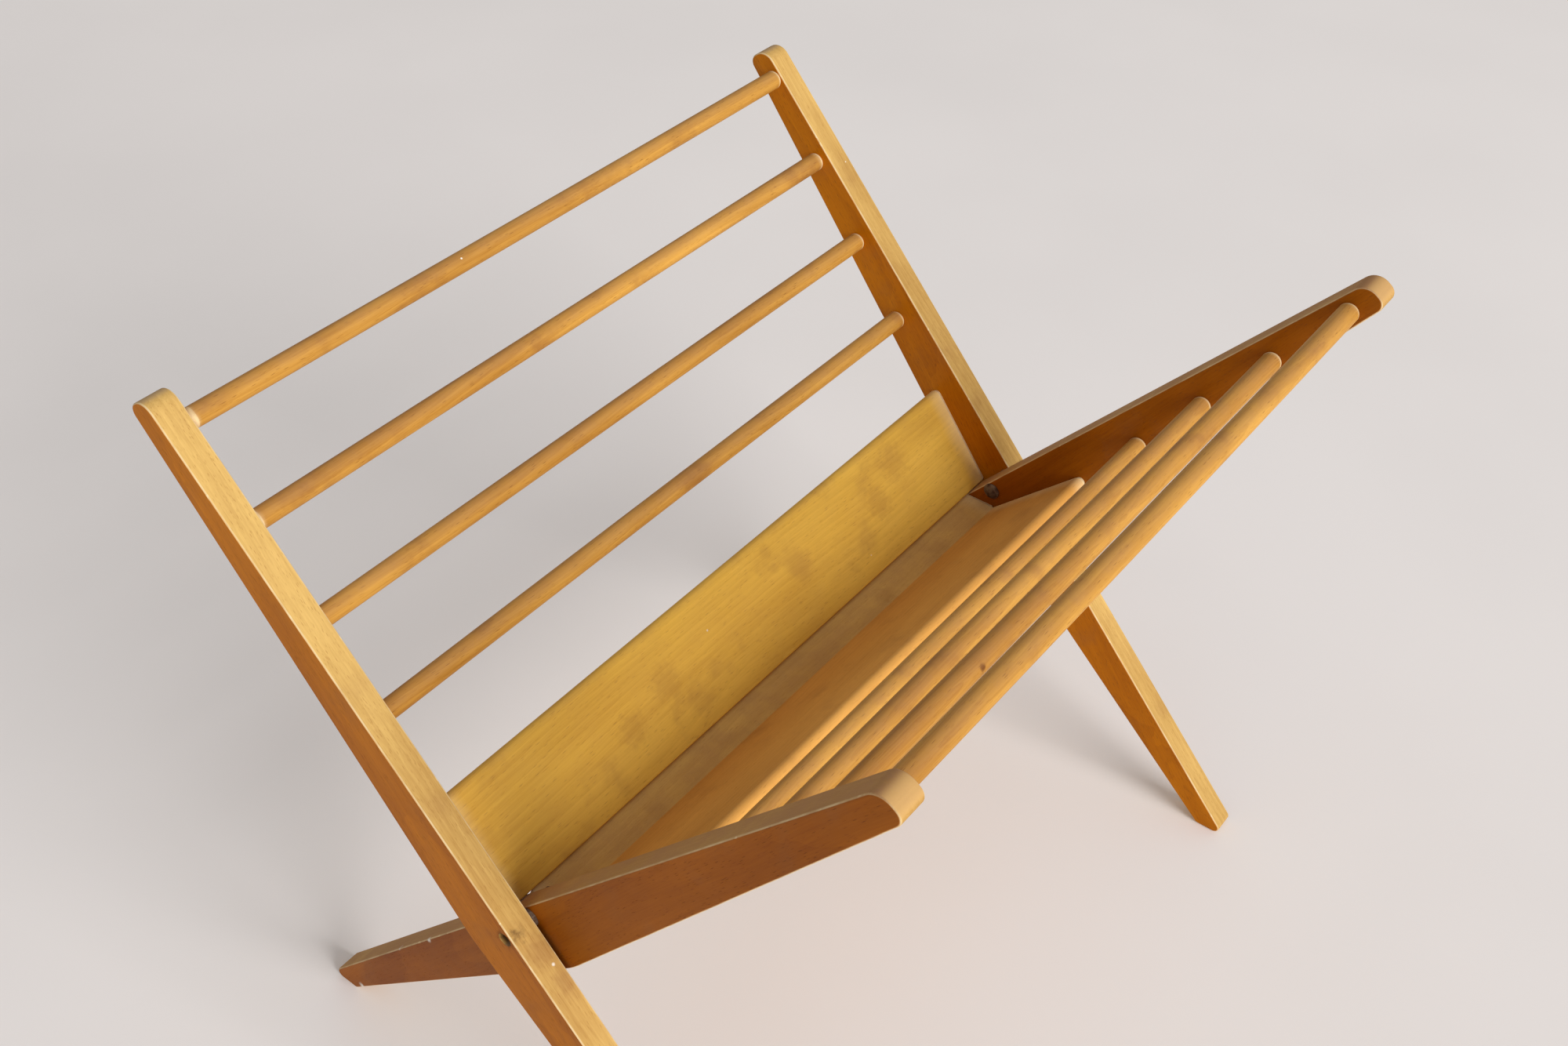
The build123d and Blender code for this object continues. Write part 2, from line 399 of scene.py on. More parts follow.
def dashes(tree, vector, width, length, share_of_cells):
    """Mask of short dashes along Z, one in each chosen cell."""
    cell_length = calculate(tree, "MULTIPLY", length, FLECK_CELL_LENGTH)
    cell = add(tree, "ShaderNodeCombineXYZ", {"X": width, "Y": width, "Z": cell_length}).outputs[0]
    in_cells = vector_calculate(tree, "DIVIDE", vector, cell)
    distance, chosen = scattered(tree, in_cells, 1.0, "Red", share_of_cells)
    return calculate(tree, "MULTIPLY", chosen, ramp(tree, distance, *FLECK_BORDER, 1.0, 0.0))


def beech_grain_group():
    """Growth rings, fibres, clouds and short flecks along Z."""
    tree, given, result = new_group(
        "Beech grain",
        {
            "Vector": "vector",
            "Wood": "colour",
            "Fleck": "colour",
            "Ring spacing": "value",
            "Fleck length": "value",
            "Flecks": "value",
            "Contrast": "value",
        },
        {"Color": "colour", "Height": "value", "Flecks": "value"},
    )
    drawn_out = stretched(tree, given["Vector"], SWAY_STRETCH)
    sway_noise = add(tree, "ShaderNodeTexNoise", {"Vector": drawn_out, **SWAY}).outputs["Color"]
    centred = vector_calculate(tree, "SUBTRACT", sway_noise, (0.5, 0.5, 0.5))
    sway = stretched(tree, centred, (SWAY_REACH, SWAY_REACH, 0))
    wandering = vector_calculate(tree, "ADD", given["Vector"], sway)
    ring_scale = calculate(tree, "DIVIDE", WAVE_PERIOD, given["Ring spacing"])
    rings = add(
        tree,
        "ShaderNodeTexWave",
        {"Vector": wandering, "Scale": ring_scale, **RINGS},
        wave_type="RINGS",
        rings_direction="Z",
        wave_profile="SAW",
    ).outputs["Fac"]
    fibres = grain_noise(tree, wandering, **FIBRES)
    flecks = dashes(tree, wandering, FLECK_WIDTH, given["Fleck length"], given["Flecks"])
    fine_flecks = dashes(tree, wandering, FINE_FLECK_WIDTH, given["Fleck length"], FINE_FLECK_SHARE)
    tone = 0.0
    for part, lightness in (
        (calculate(tree, "SUBTRACT", rings, 0.5), RING_LIGHTNESS),
        (grain_noise(tree, wandering, **CLOUDS), CLOUD_LIGHTNESS),
        (grain_noise(tree, wandering, **STREAKS), STREAK_LIGHTNESS),
        (fibres, FIBRE_LIGHTNESS),
        (fine_flecks, FINE_FLECK_LIGHTNESS),
    ):
        tone = calculate(tree, "MULTIPLY_ADD", part, lightness, tone)
    tone = calculate(tree, "MULTIPLY", tone, given["Contrast"])
    dark = mix(tree, 1.0, given["Wood"], DARKER, "MULTIPLY")
    light = mix(tree, 1.0, given["Wood"], LIGHTER, "MULTIPLY")
    base = mix(tree, calculate(tree, "ADD", tone, 0.5, clamp=True), dark, light)
    tinted = mix(tree, calculate(tree, "MULTIPLY", flecks, FLECK_STRENGTH), base, given["Fleck"])
    connect(tree, tinted, result["Color"])
    worn = noise(tree, given["Vector"], WORN_SCALE, detail=1.0)
    relief = calculate(tree, "MULTIPLY", fibres, FIBRE_RELIEF)
    relief = calculate(tree, "MULTIPLY_ADD", flecks, FLECK_RELIEF, relief)
    connect(tree, calculate(tree, "MULTIPLY_ADD", worn, WORN_RELIEF, relief), result["Height"])
    connect(tree, flecks, result["Flecks"])
    return tree


def edge_wear_group():
    """Worn arrises and pale chips where a rail's side turns into its edge."""
    tree, given, result = new_group(
        "Edge wear",
        {"Vector": "vector", "Side": "value", "Amount": "value"},
        {"Wear": "value", "Chips": "value"},
    )
    rising = ramp(tree, given["Side"], *ARRIS_BEGIN)
    falling = ramp(tree, given["Side"], *ARRIS_END, 1.0, 0.0)
    arris = calculate(tree, "MULTIPLY", rising, falling)
    worn = calculate(tree, "MULTIPLY", arris, patches(tree, given["Vector"], **UNEVEN_WEAR))
    connect(tree, calculate(tree, "MULTIPLY", worn, given["Amount"]), result["Wear"])
    chips = patches(tree, given["Vector"], **CHIPS)
    connect(tree, calculate(tree, "MULTIPLY", arris, chips), result["Chips"])
    return tree


def settled_dust_group():
    """Dust and pale crumbs on what faces up."""
    tree, given, result = new_group(
        "Settled dust",
        {"Vector": "vector", "Normal": "vector", "Amount": "value"},
        {"Dust": "value", "Crumbs": "value"},
    )
    upward = ramp(tree, split(tree, given["Normal"])["Z"], *FACES_UP)
    dust = calculate(tree, "MULTIPLY", upward, patches(tree, given["Vector"], **DUST_PATCHES))
    dust = calculate(tree, "MULTIPLY", dust, patches(tree, given["Vector"], **DUST_GRAINS))
    connect(tree, calculate(tree, "MULTIPLY", dust, given["Amount"], clamp=True), result["Dust"])
    distance, chosen = scattered(tree, given["Vector"], CRUMB_CELLS, "Green", CRUMB_SHARE)
    crumbs = calculate(tree, "MULTIPLY", calculate(tree, "LESS_THAN", distance, CRUMB_SIZE), chosen)
    connect(tree, calculate(tree, "MULTIPLY", crumbs, upward), result["Crumbs"])
    return tree


def bare_ends_and_sheen_group():
    """How thin the varnish is towards the rails, down to the bare shoulders of a piece; the pale band
    there is partly a painted reflection on the grazing ends.
    """
    tree, given, result = new_group(
        "Bare ends",
        {"Vector": "vector", "Reach": "value", "Fade": "value", "Shoulder": "value"},
        {"Bare": "value"},
    )
    along = calculate(tree, "ABSOLUTE", split(tree, given["Vector"])["X"])
    wander = calculate(tree, "SUBTRACT", noise(tree, given["Vector"], WORN_SCALE), 0.5)
    to_rail = calculate(tree, "SUBTRACT", given["Reach"], along)
    ragged = calculate(tree, "MULTIPLY_ADD", wander, FADE_WANDER, to_rail)
    faded_and_sheen = ramp(tree, ragged, 0, given["Fade"], THIN_VARNISH_AND_SHEEN, 0.0)
    sharp = calculate(tree, "MULTIPLY_ADD", wander, SHOULDER_WANDER, to_rail)
    past_shoulder = calculate(tree, "ADD", given["Shoulder"], SHOULDER_BORDER)
    shoulder = ramp(tree, sharp, given["Shoulder"], past_shoulder, 1 - THIN_VARNISH_AND_SHEEN, 0.0)
    connect(tree, calculate(tree, "ADD", faded_and_sheen, shoulder), result["Bare"])
    return tree


def stains_group():
    """Soft stains and handling marks."""
    tree, given, result = new_group(
        "Stains", {"Vector": "vector", "Amount": "value"}, {"Stain": "value"}
    )
    blots = patches(tree, given["Vector"], **BLOTS)
    connect(tree, calculate(tree, "MULTIPLY", blots, given["Amount"]), result["Stain"])
    return tree


def mark_group():
    """One mark round a centre, with a ragged border."""
    tree, given, result = new_group(
        "Mark", {"Vector": "vector", "Centre": "vector", "Reach": "value"}, {"Mark": "value"}
    )
    distance = vector_calculate(tree, "DISTANCE", given["Vector"], given["Centre"])
    away = calculate(tree, "DIVIDE", distance, given["Reach"])
    raggedness = noise(tree, given["Vector"], MARK_RAGGED_SCALE, MARK_RAGGED_DETAIL)
    ragged = calculate(tree, "SUBTRACT", raggedness, 0.5)
    border = calculate(tree, "MULTIPLY_ADD", ragged, MARK_RAGGED_REACH, away)
    connect(tree, ramp(tree, border, *MARK_BORDER, 1.0, 0.0), result["Mark"])
    return tree


GROUP_MAKERS = {
    "Beech grain": beech_grain_group,
    "Edge wear": edge_wear_group,
    "Settled dust": settled_dust_group,
    "Bare ends": bare_ends_and_sheen_group,
    "Stains": stains_group,
    "Mark": mark_group,
}


def group(name):
    """A shared shader node group, built the first time that it is asked for."""
    return bpy.data.node_groups.get(name) or GROUP_MAKERS[name]()


SPECULAR_LEVEL = 0.08
VARNISH_ROUGHNESS = 0.46
FLECK_ROUGHNESS = 0.2
BUMP_STRENGTH = 0.6


def new_material(name):
    """Empty node material; returns it with its tree and its shader."""
    material = bpy.data.materials.new(name)
    material.use_nodes = True
    tree = material.node_tree
    tree.nodes.clear()
    shader = tree.nodes.new("ShaderNodeBsdfPrincipled")
    shader.inputs["Specular IOR Level"].default_value = SPECULAR_LEVEL
    output = tree.nodes.new("ShaderNodeOutputMaterial")
    tree.links.new(shader.outputs[0], output.inputs["Surface"])
    return material, tree, shader


class Beech:
    """Varnished beech under construction: its coordinates and what has been laid on so far."""

    def __init__(self, name, turn, origin):
        self.material, self.tree, self.shader = new_material(name)
        coordinates = self.tree.nodes.new("ShaderNodeTexCoord").outputs
        self.place = coordinates["Object"]
        self.normal = coordinates["Normal"]
        rotation = Euler(turn, "XYZ")
        shift = -(rotation.to_matrix() @ Vector(origin))
        self.grain = add(
            self.tree,
            "ShaderNodeMapping",
            {"Vector": self.place, "Rotation": rotation, "Location": shift},
        ).outputs[0]
        self.grain_normal = add(
            self.tree,
            "ShaderNodeMapping",
            {"Vector": self.normal, "Rotation": rotation},
            vector_type="VECTOR",
        ).outputs[0]
        self.colour = None
        self.height = None
        self.roughness = VARNISH_ROUGHNESS

    def lay_grain(self, wood, fleck, beech, flecks, contrast):
        """Beech grain in the given colours."""
        inputs = {
            "Vector": self.grain,
            "Wood": wood,
            "Fleck": fleck,
            "Ring spacing": beech.ring_spacing,
            "Fleck length": beech.fleck_length,
            "Flecks": flecks,
            "Contrast": contrast,
        }
        found = use_group(self.tree, group("Beech grain"), inputs)
        self.colour = found["Color"]
        self.height = found["Height"]
        self.roughness = calculate(
            self.tree, "MULTIPLY_ADD", found["Flecks"], FLECK_ROUGHNESS, self.roughness
        )

    def lay(self, mask, colour, strength, roughness):
        """Another colour where the mask is, with its own roughness."""
        factor = calculate(self.tree, "MULTIPLY", mask, strength)
        self.colour = mix(self.tree, factor, self.colour, colour)
        change = calculate(self.tree, "SUBTRACT", roughness, self.roughness)
        self.roughness = calculate(self.tree, "MULTIPLY_ADD", factor, change, self.roughness)

    def lay_dust(self, beech, amount):
        """Dust and crumbs."""
        inputs = {"Vector": self.place, "Normal": self.normal, "Amount": amount * beech.dust_amount}
        found = use_group(self.tree, group("Settled dust"), inputs)
        self.lay(found["Dust"], beech.dust, strength=1.0, roughness=0.85)
        self.lay(found["Crumbs"], beech.crumb, strength=1.0, roughness=0.9)
        self.height = calculate(self.tree, "ADD", self.height, found["Crumbs"])

    def lay_bare_ends_and_sheen(self, beech, reach, fade):
        """Bare wood towards the rails, partly a painted reflection on the grazing ends."""
        inputs = {"Vector": self.place, "Reach": reach, "Fade": fade, "Shoulder": SHOULDER_END}
        found = use_group(self.tree, group("Bare ends"), inputs)
        self.lay(found["Bare"], beech.bare_wood_and_sheen, strength=1.0, roughness=0.6)

    def lay_stains(self, beech, amount):
        """Stains over the varnish."""
        found = use_group(self.tree, group("Stains"), {"Vector": self.place, "Amount": amount})
        self.lay(found["Stain"], beech.stain, strength=1.0, roughness=0.5)

    def lay_marks(self, marks, colour, strength):
        """Single marks, each given by its place and its reach."""
        for centre, reach in marks:
            inputs = {"Vector": self.place, "Centre": Vector(centre) * MM, "Reach": reach * MM}
            mark = use_group(self.tree, group("Mark"), inputs)["Mark"]
            self.lay(mark, colour, strength, roughness=0.6)

    def finished(self, relief):
        """Connects everything to the shader and returns the material."""
        connect(self.tree, self.colour, self.shader.inputs["Base Color"])
        connect(self.tree, self.roughness, self.shader.inputs["Roughness"])
        inputs = {"Height": self.height, "Distance": relief, "Strength": BUMP_STRENGTH}
        bump = add(self.tree, "ShaderNodeBump", inputs).outputs[0]
        connect(self.tree, bump, self.shader.inputs["Normal"])
        return self.material


# Single marks on the rack, each with its place and its reach in millimetres
PIVOT_SMUDGES = (((-200, -13, 183), 11), ((-198, -24, 170), 9))
PALE_SPECKS = (
    ((-200, -18, 177), 1.2),
    ((-194, 79, 107), 2.5),
    ((-193, 106, 77), 2.2),
    ((-194, 148, 7), 3),
)
BACK_BOARD_STAINS = (
    ((-62, 34, 209), 13),
    ((-91, 29, 203), 12),
    ((138, 40, 217), 15),
    ((114, 33, 208), 13),
)
STRIP_STAINS = (((80, 2, 181), 9), ((130, 0, 181), 11))
# Painted shade round each pivot rivet in the outer rails.
PIVOT_HOLE_SHADE = (((-206, 0, 190), 7.5), ((206, 0, 190), 7.5))
DOWEL_KNOTS = (((-79.5, -146.7, 345.5), 2.4),)

# How far a surface faces sideways or along a rail, from where that begins to count to where it is full
SIDE_FACING = (0.55, 0.95)
END_FACING = (0.6, 0.95)


def rail_material(name, lean, edge_colour, shaded_side_colour, end_colour, beech, dust):
    """Rails: yellow edges, orange sides that carry painted shade, dusty end grain, worn arrises."""
    wood = Beech(name, (lean, 0, 0), PIVOT)
    facing = split(wood.tree, wood.grain_normal)
    side = calculate(wood.tree, "ABSOLUTE", facing["X"])
    end = ramp(wood.tree, calculate(wood.tree, "ABSOLUTE", facing["Z"]), *END_FACING)
    side_share = ramp(wood.tree, side, *SIDE_FACING)
    # Sideways faces take the side colour, which is partly painted shade.
    varnish = mix(wood.tree, side_share, edge_colour, shaded_side_colour)
    fleck = mix(wood.tree, side_share, beech.edge_fleck, beech.fleck)
    wood.lay_grain(varnish, fleck, beech, flecks=0.7, contrast=1.1)
    wood.lay_stains(beech, amount=0.25)
    wood.lay_marks(PIVOT_SMUDGES, beech.stain, strength=0.35)
    # Painted shade in the holes over the pivots.
    wood.lay_marks(PIVOT_HOLE_SHADE, beech.pivot_hole_shade, strength=1.0)
    inputs = {"Vector": wood.place, "Side": side, "Amount": beech.wear_amount}
    worn = use_group(wood.tree, group("Edge wear"), inputs)
    wood.lay(worn["Wear"], beech.bare_wood_and_sheen, strength=1.0, roughness=0.5)
    wood.lay(worn["Chips"], beech.bare_wood_and_sheen, strength=0.9, roughness=0.7)
    wood.lay_marks(PALE_SPECKS, beech.crumb, strength=0.8)
    wood.lay_dust(beech, dust)
    wood.lay(end, end_colour, strength=0.7, roughness=0.7)
    return wood.finished(relief=0.1 * MM)


def board_material(name, lean, wood_colour, reach, marks, beech, dust):
    """Boards and strip: soft clouds, bare ends that are partly a painted reflection, dust."""
    wood = Beech(name, (lean, pi / 2, 0), PIVOT)
    wood.lay_grain(wood_colour, beech.edge_fleck, beech, flecks=0.4, contrast=0.7)
    wood.lay_stains(beech, amount=0.28)
    wood.lay_marks(marks, beech.stain, strength=0.24)
    wood.lay_bare_ends_and_sheen(beech, reach, fade=14 * MM)
    wood.lay_dust(beech, dust)
    return wood.finished(relief=0.08 * MM)


def dowel_material(name, lean, reach, beech):
    """Dowels: fine grain along them, bare shoulders that are partly a painted reflection, dust on top.
    """
    wood = Beech(name, (lean, pi / 2, 0), PIVOT)
    wood.lay_grain(beech.dowel, beech.fleck, beech, flecks=0.3, contrast=1.3)
    wood.lay_stains(beech, amount=0.55)
    wood.lay_marks(DOWEL_KNOTS, beech.fleck, strength=0.9)
    wood.lay_bare_ends_and_sheen(beech, reach, fade=4 * MM)
    wood.lay_dust(beech, amount=0.8)
    return wood.finished(relief=0.08 * MM)


# Pivots, with each pair from clean steel to full tarnish
TARNISH = {"scale": 350.0, "detail": 3.0, "roughness": 0.6, "low": 0.3, "high": 0.7}
STEEL_ROUGHNESS = (0.38, 0.7)
STEEL_METALLIC = (0.45, 0.1)
PIT_SCALE = 2500.0
PIT_DETAIL = 3.0
PIT_DEPTH = 0.05 * MM
PIT_STRENGTH = 0.5


def pivot_material(pivots):
    """Dull tarnished steel."""
    material, tree, shader = new_material("Pivot steel")
    place = tree.nodes.new("ShaderNodeTexCoord").outputs["Object"]
    tarnish = patches(tree, place, **TARNISH)
    connect(tree, mix(tree, tarnish, pivots.steel, pivots.tarnish), shader.inputs["Base Color"])
    connect(tree, ramp(tree, tarnish, 0, 1, *STEEL_ROUGHNESS), shader.inputs["Roughness"])
    connect(tree, ramp(tree, tarnish, 0, 1, *STEEL_METALLIC), shader.inputs["Metallic"])
    pits = noise(tree, place, PIT_SCALE, PIT_DETAIL)
    inputs = {"Height": pits, "Distance": PIT_DEPTH, "Strength": PIT_STRENGTH}
    connect(tree, add(tree, "ShaderNodeBump", inputs).outputs[0], shader.inputs["Normal"])
    return material


def paint(node, material):
    """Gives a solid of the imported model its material."""
    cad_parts[node].material_slots[0].material = material


# Turned dowels
DOWEL_INPUTS = {
    "First": "NodeSocketVector",
    "Step": "NodeSocketVector",
    "Count": "NodeSocketInt",
    "Reach": "NodeSocketFloat",
    "Body reach": "NodeSocketFloat",
    "Shoulder": "NodeSocketFloat",
    "Radius": "NodeSocketFloat",
    "Tenon radius": "NodeSocketFloat",
    "Bow": "NodeSocketFloat",
    "Seed": "NodeSocketInt",
    "Material": "NodeSocketMaterial",
}
DOWEL_STATIONS = 81
DOWEL_FACETS = 40

# Shares of each half of a dowel's line that become its body, and its body and shoulder together
BODY_SHARE = 0.8
SHOULDER_SHARE = 0.9


def dowel_row_tree():
    """Row of turned dowels: lines across the rack, bent a little, with a section that follows them."""
    tree = bpy.data.node_groups.new("Turned dowels", "GeometryNodeTree")
    for name, kind in DOWEL_INPUTS.items():
        tree.interface.new_socket(name, in_out="INPUT", socket_type=kind)
    tree.interface.new_socket("Geometry", in_out="OUTPUT", socket_type="NodeSocketGeometry")
    given = tree.nodes.new("NodeGroupInput").outputs
    line = add(
        tree, "GeometryNodeCurvePrimitiveLine", {"Start": (-1, 0, 0), "End": (1, 0, 0)}
    ).outputs[0]
    stations = add(
        tree, "GeometryNodeResampleCurve", {"Curve": line, "Count": DOWEL_STATIONS}
    ).outputs[0]
    across = split(tree, tree.nodes.new("GeometryNodeInputPosition").outputs[0])["X"]
    share_out = calculate(tree, "ABSOLUTE", across)
    body_out = ramp(tree, share_out, 0, BODY_SHARE, 0, given["Body reach"], smooth=False)
    shoulder = (BODY_SHARE, SHOULDER_SHARE)
    shoulder_out = ramp(tree, share_out, *shoulder, 0, given["Shoulder"], smooth=False)
    to_tenon = calculate(tree, "ADD", given["Body reach"], given["Shoulder"])
    tenon_length = calculate(tree, "SUBTRACT", given["Reach"], to_tenon)
    tenon_out = ramp(tree, share_out, SHOULDER_SHARE, 1, 0, tenon_length, smooth=False)
    outward = calculate(tree, "ADD", calculate(tree, "ADD", body_out, shoulder_out), tenon_out)
    place = calculate(tree, "MULTIPLY", outward, calculate(tree, "SIGN", across))
    turn_in = ramp(tree, share_out, *shoulder, 0, 1, smooth=False)
    turned_in = calculate(tree, "MULTIPLY", turn_in, turn_in)
    round_share = calculate(tree, "SQRT", calculate(tree, "SUBTRACT", 1.0, turned_in))
    body_over_tenon = calculate(tree, "SUBTRACT", given["Radius"], given["Tenon radius"])
    radius = calculate(tree, "MULTIPLY_ADD", body_over_tenon, round_share, given["Tenon radius"])
    sized = add(tree, "GeometryNodeSetCurveRadius", {"Curve": stations, "Radius": radius}).outputs[0]
    placed = add(
        tree,
        "GeometryNodeSetPosition",
        {"Geometry": sized, "Position": add(tree, "ShaderNodeCombineXYZ", {"X": place}).outputs[0]},
    ).outputs[0]
    row = add(
        tree,
        "GeometryNodeMeshLine",
        {"Count": given["Count"], "Start Location": given["First"], "Offset": given["Step"]},
    ).outputs[0]
    copies = add(tree, "GeometryNodeInstanceOnPoints", {"Points": row, "Instance": placed}).outputs[0]
    index = tree.nodes.new("GeometryNodeInputIndex").outputs[0]
    numbered = add(
        tree,
        "GeometryNodeStoreNamedAttribute",
        {"Geometry": copies, "Name": "dowel", "Value": index},
        data_type="FLOAT",
        domain="INSTANCE",
    ).outputs[0]
    lines = add(tree, "GeometryNodeRealizeInstances", {"Geometry": numbered}).outputs[0]
    number = add(
        tree, "GeometryNodeInputNamedAttribute", {"Name": "dowel"}, data_type="FLOAT"
    ).outputs[0]
    bend = add(
        tree,
        "FunctionNodeRandomValue",
        {"Min": (0, -1, -1), "Max": (0, 1, 1), "ID": number, "Seed": given["Seed"]},
        data_type="FLOAT_VECTOR",
    ).outputs[0]
    along = split(tree, tree.nodes.new("GeometryNodeInputPosition").outputs[0])["X"]
    from_middle = calculate(tree, "DIVIDE", along, given["Body reach"])
    squared = calculate(tree, "MULTIPLY", from_middle, from_middle)
    sag = calculate(tree, "SUBTRACT", 1.0, squared, clamp=True)
    offset = vector_scale(tree, bend, calculate(tree, "MULTIPLY", sag, given["Bow"]))
    bent = add(tree, "GeometryNodeSetPosition", {"Geometry": lines, "Offset": offset}).outputs[0]
    section = add(
        tree, "GeometryNodeCurvePrimitiveCircle", {"Resolution": DOWEL_FACETS, "Radius": 1.0}
    ).outputs[0]
    own_radius = tree.nodes.new("GeometryNodeInputRadius").outputs[0]
    turned = add(
        tree,
        "GeometryNodeCurveToMesh",
        {"Curve": bent, "Profile Curve": section, "Scale": own_radius, "Fill Caps": True},
    ).outputs[0]
    smooth = add(tree, "GeometryNodeSetShadeSmooth", {"Geometry": turned}).outputs[0]
    realized = add(tree, "GeometryNodeRealizeInstances", {"Geometry": smooth}).outputs[0]
    finished = add(
        tree, "GeometryNodeSetMaterial", {"Geometry": realized, "Material": given["Material"]}
    ).outputs[0]
    tree.links.new(finished, tree.nodes.new("NodeGroupOutput").inputs[0])
    return tree


def made_by(tree, name, values):
    """Plain mesh object that a Geometry Nodes tree makes from the values of its named inputs."""
    maker = bpy.data.objects.new(name, bpy.data.meshes.new(name))
    bpy.context.scene.collection.objects.link(maker)
    modifier = maker.modifiers.new(name, "NODES")
    modifier.node_group = tree
    for item in tree.interface.items_tree:
        if item.item_type == "SOCKET" and item.in_out == "INPUT":
            modifier[item.identifier] = values[item.name]
    bpy.context.view_layer.update()
    made = maker.evaluated_get(bpy.context.evaluated_depsgraph_get())
    mesh = bpy.data.meshes.new_from_object(made)
    maker.modifiers.remove(modifier)
    maker.data = mesh
    mesh.name = name
    return maker


class RACK_OT_finish_rails(bpy.types.Operator):
    """Finish the four side rails"""

    bl_idname = "rack.finish_rails"
    bl_label = "Side rails"

    def execute(self, context):
        beech = context.scene.rack_beech
        outer = rail_material(
            "Outer rail beech",
            LEAN,
            beech.outer_edge,
            beech.outer_side_shaded,
            beech.end_grain,
            beech,
            dust=0.25,
        )
        inner = rail_material(
            "Inner rail beech",
            -LEAN,
            beech.inner_edge,
            beech.inner_side_shaded,
            beech.clean_end,
            beech,
            dust=2.6,
        )
        for side in SIDES:
            paint(f"outer_rail_{side}", outer)
            paint(f"inner_rail_{side}", inner)
        return {"FINISHED"}


class RACK_OT_turn_dowels(bpy.types.Operator):
    """Make both rows of turned dowels"""

    bl_idname = "rack.turn_dowels"
    bl_label = "Dowels"

    def execute(self, context):
        beech = context.scene.rack_beech
        dowels = context.scene.rack_dowels
        tree = dowel_row_tree()
        for row, body, lean in (("back", "outer_frame", LEAN), ("front", "inner_frame", -LEAN)):
            nodes = [f"{row}_dowel_{number}" for number in DOWEL_NUMBERS]
            shoulder_end = INSIDE[row] - dowels.standoff
            values = {
                "First": centre_of(nodes[0]),
                "Step": ROW_STEPS[row],
                "Count": len(nodes),
                "Reach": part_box(nodes[0])[1].x,
                "Body reach": shoulder_end - dowels.shoulder,
                "Shoulder": dowels.shoulder,
                "Radius": DOWEL_RADIUS,
                "Tenon radius": dowels.tenon_radius,
                "Bow": dowels.bow,
                "Seed": dowels.seed,
                "Material": dowel_material(f"{row.title()} dowel beech", lean, INSIDE[row], beech),
            }
            piece = made_by(tree, f"{row}_dowels", values)
            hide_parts(*nodes)
            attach(piece, body)
        return {"FINISHED"}


class RACK_OT_finish_boards(bpy.types.Operator):
    """Finish the two boards and the floor strip"""

    bl_idname = "rack.finish_boards"
    bl_label = "Boards and floor strip"

    def execute(self, context):
        beech = context.scene.rack_beech
        for node, lean, wood_colour, row, marks, dust in (
            ("back_board", LEAN, beech.back_board, "back", BACK_BOARD_STAINS, 0.5),
            ("front_board", -FRONT_BOARD_LEAN, beech.front_board, "front", (), 0.3),
            ("floor_strip", pi / 2, beech.strip, "front", STRIP_STAINS, 1.0),
        ):
            name = node.replace("_", " ").capitalize() + " beech"
            paint(node, board_material(name, lean, wood_colour, INSIDE[row], marks, beech, dust))
        return {"FINISHED"}


class RACK_OT_finish_pivots(bpy.types.Operator):
    """Finish the rivets and washers of both pivots"""

    bl_idname = "rack.finish_pivots"
    bl_label = "Pivots"

    def execute(self, context):
        steel = pivot_material(context.scene.rack_pivots)
        for side in SIDES:
            for piece in ("pivot_rivet", "rivet_washer", "spacer_washer"):
                paint(f"{piece}_{side}", steel)
        return {"FINISHED"}


FLOOR_RADIUS = 12.0
FLOOR_CLOUDS = {"scale": 3.0, "detail": 3.0, "low": 0.3, "high": 0.7}
FLOOR_DARKER = 0.97
KEY_SIZE = 7.2
KEY_DISTANCE = 12.0
KEY_DIRECTION = Vector((-0.12, -0.9, 0.42))


class RACK_OT_set_stage(bpy.types.Operator):
    """Lay the floor, hang the lights and place the camera"""

    bl_idname = "rack.set_stage"
    bl_label = "Stage"

    def execute(self, context):
        stage = context.scene.rack_stage
        lay_floor(stage)
        light_scene(context.scene, stage)
        place_camera(context.scene, stage)
        context.scene.view_settings.view_transform = "Standard"
        return {"FINISHED"}


def lay_floor(stage):
    """Plain pale floor."""
    mesh = bpy.data.meshes.new("floor")
    corners = [(x * FLOOR_RADIUS, y * FLOOR_RADIUS, 0) for x, y in ((-1, -1), (1, -1), (1, 1), (-1, 1))]
    mesh.from_pydata(corners, [], [(0, 1, 2, 3)])
    material, tree, shader = new_material("Plain floor")
    place = tree.nodes.new("ShaderNodeTexCoord").outputs["Object"]
    faint = patches(tree, place, **FLOOR_CLOUDS)
    darker = tuple(value * FLOOR_DARKER for value in stage.floor)
    connect(tree, mix(tree, faint, darker, tuple(stage.floor)), shader.inputs["Base Color"])
    shader.inputs["Roughness"].default_value = 1.0
    shader.inputs["Specular IOR Level"].default_value = 0.0
    mesh.materials.append(material)
    floor = bpy.data.objects.new("floor", mesh)
    bpy.context.scene.collection.objects.link(floor)


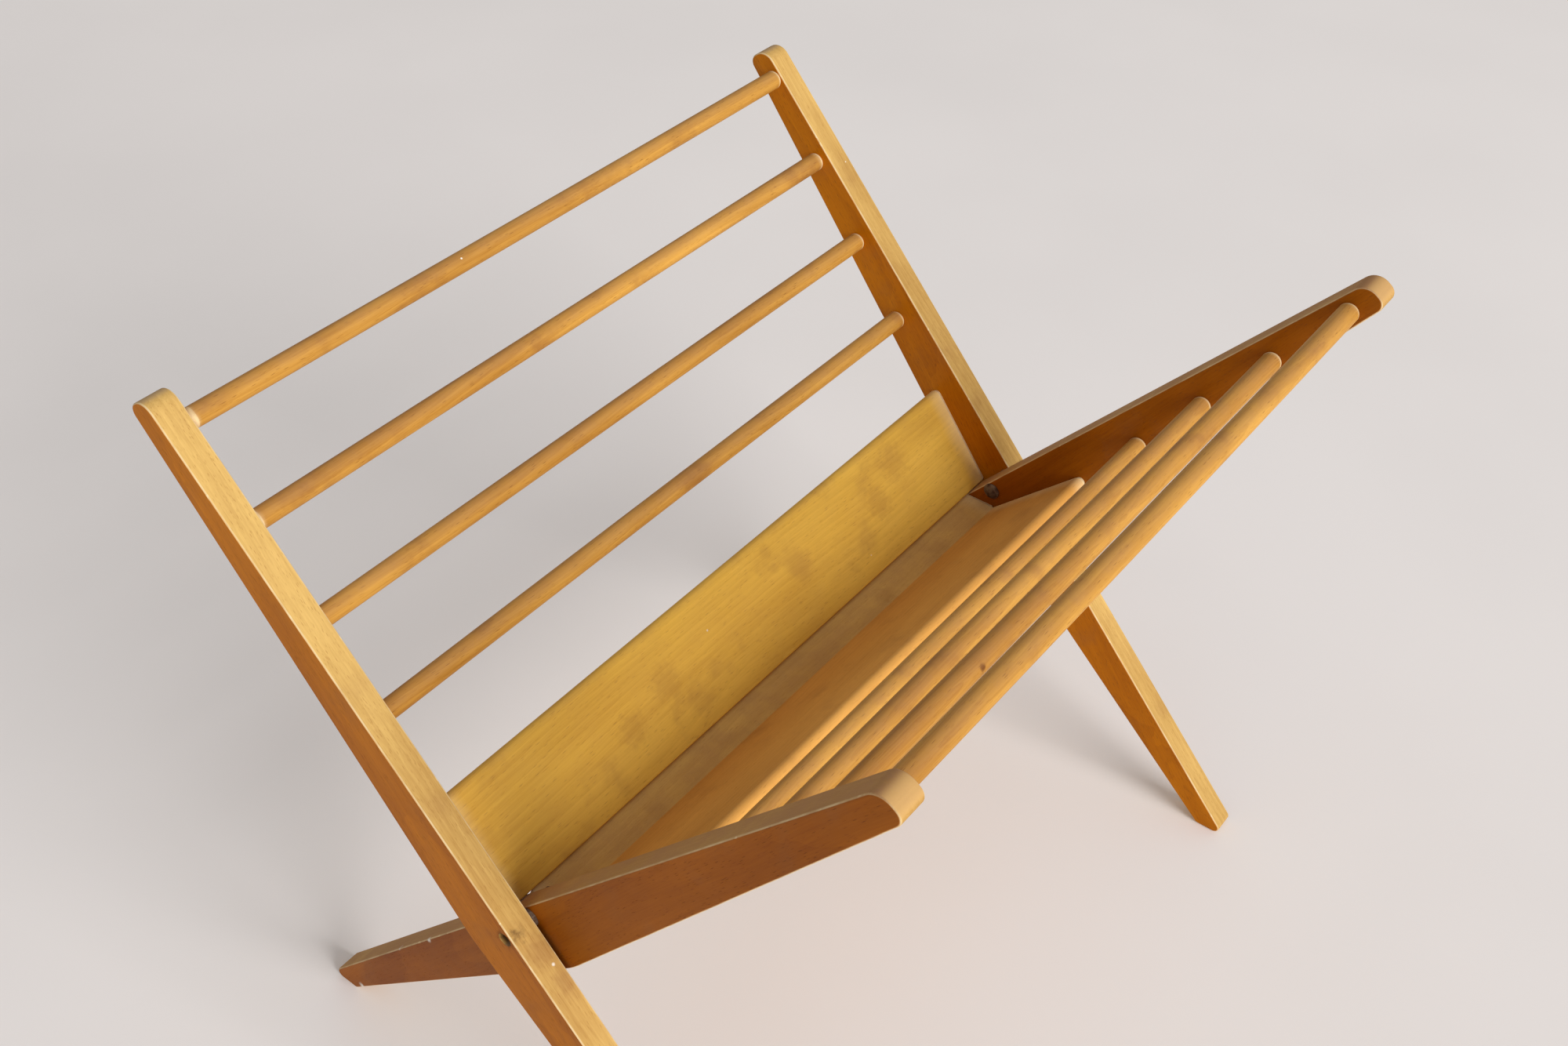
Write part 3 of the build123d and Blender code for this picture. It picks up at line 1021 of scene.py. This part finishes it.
def light_scene(scene, stage):
    """Large soft light from the front, low down, and even light all round."""
    lamp = bpy.data.lights.new("key", "AREA")
    lamp.shape = "DISK"
    lamp.size = KEY_SIZE
    lamp.energy = stage.key_power
    key = bpy.data.objects.new("key", lamp)
    key.location = PIVOT + KEY_DIRECTION.normalized() * KEY_DISTANCE
    key.rotation_euler = KEY_DIRECTION.to_track_quat("Z", "Y").to_euler()
    key.visible_camera = False
    scene.collection.objects.link(key)
    scene.world = bpy.data.worlds.new("sky")
    scene.world.use_nodes = True
    tree = scene.world.node_tree
    background = tree.nodes["Background"]
    path = tree.nodes.new("ShaderNodeLightPath").outputs
    seen = calculate(tree, "MAXIMUM", path["Is Camera Ray"], path["Is Glossy Ray"])
    seen = calculate(tree, "MAXIMUM", seen, path["Is Transmission Ray"])
    strength = ramp(tree, seen, 0, 1, stage.sky, stage.backdrop, smooth=False)
    connect(tree, strength, background.inputs["Strength"])
    connect(tree, mix(tree, seen, (1, 1, 1), stage.floor), background.inputs["Color"])


def place_camera(scene, stage):
    """Camera at the viewing angle of the photograph."""
    lens = bpy.data.cameras.new("camera")
    lens.lens = stage.lens
    camera = bpy.data.objects.new("camera", lens)
    flat = cos(stage.tilt)
    forward = Vector((sin(stage.heading) * flat, cos(stage.heading) * flat, -sin(stage.tilt)))
    camera.location = Vector(stage.aim) - forward * stage.distance
    level = (-forward).to_track_quat("Z", "Y")
    camera.rotation_euler = (level @ Euler((0, 0, stage.roll)).to_quaternion()).to_euler()
    scene.collection.objects.link(camera)
    scene.camera = camera


STEPS = ("finish_rails", "turn_dowels", "finish_boards", "finish_pivots", "set_stage")


class RACK_PT_panel(bpy.types.Panel):
    """Sidebar panel of the rack"""

    bl_idname = "RACK_PT_panel"
    bl_label = "Magazine rack"
    bl_space_type = "VIEW_3D"
    bl_region_type = "UI"
    bl_category = "Rack"

    def draw(self, context):
        for step in STEPS:
            self.layout.operator(f"rack.{step}")


SETTINGS = {
    "rack_beech": RackBeechSettings,
    "rack_dowels": RackDowelSettings,
    "rack_pivots": RackPivotSettings,
    "rack_stage": RackStageSettings,
}
CLASSES = (
    *SETTINGS.values(),
    RACK_OT_finish_rails,
    RACK_OT_turn_dowels,
    RACK_OT_finish_boards,
    RACK_OT_finish_pivots,
    RACK_OT_set_stage,
    RACK_PT_panel,
)


def register():
    """Registers the classes and the settings on the scene."""
    for cls in CLASSES:
        bpy.utils.register_class(cls)
    for name, kind in SETTINGS.items():
        setattr(bpy.types.Scene, name, PointerProperty(type=kind))


def unregister():
    """Takes the settings and the classes away again."""
    for name in SETTINGS:
        delattr(bpy.types.Scene, name)
    for cls in reversed(CLASSES):
        bpy.utils.unregister_class(cls)


def main():
    """Finishes the rack piece by piece."""
    register()
    for step in STEPS:
        getattr(bpy.ops.rack, step)()


if __name__ == "__main__":
    main()
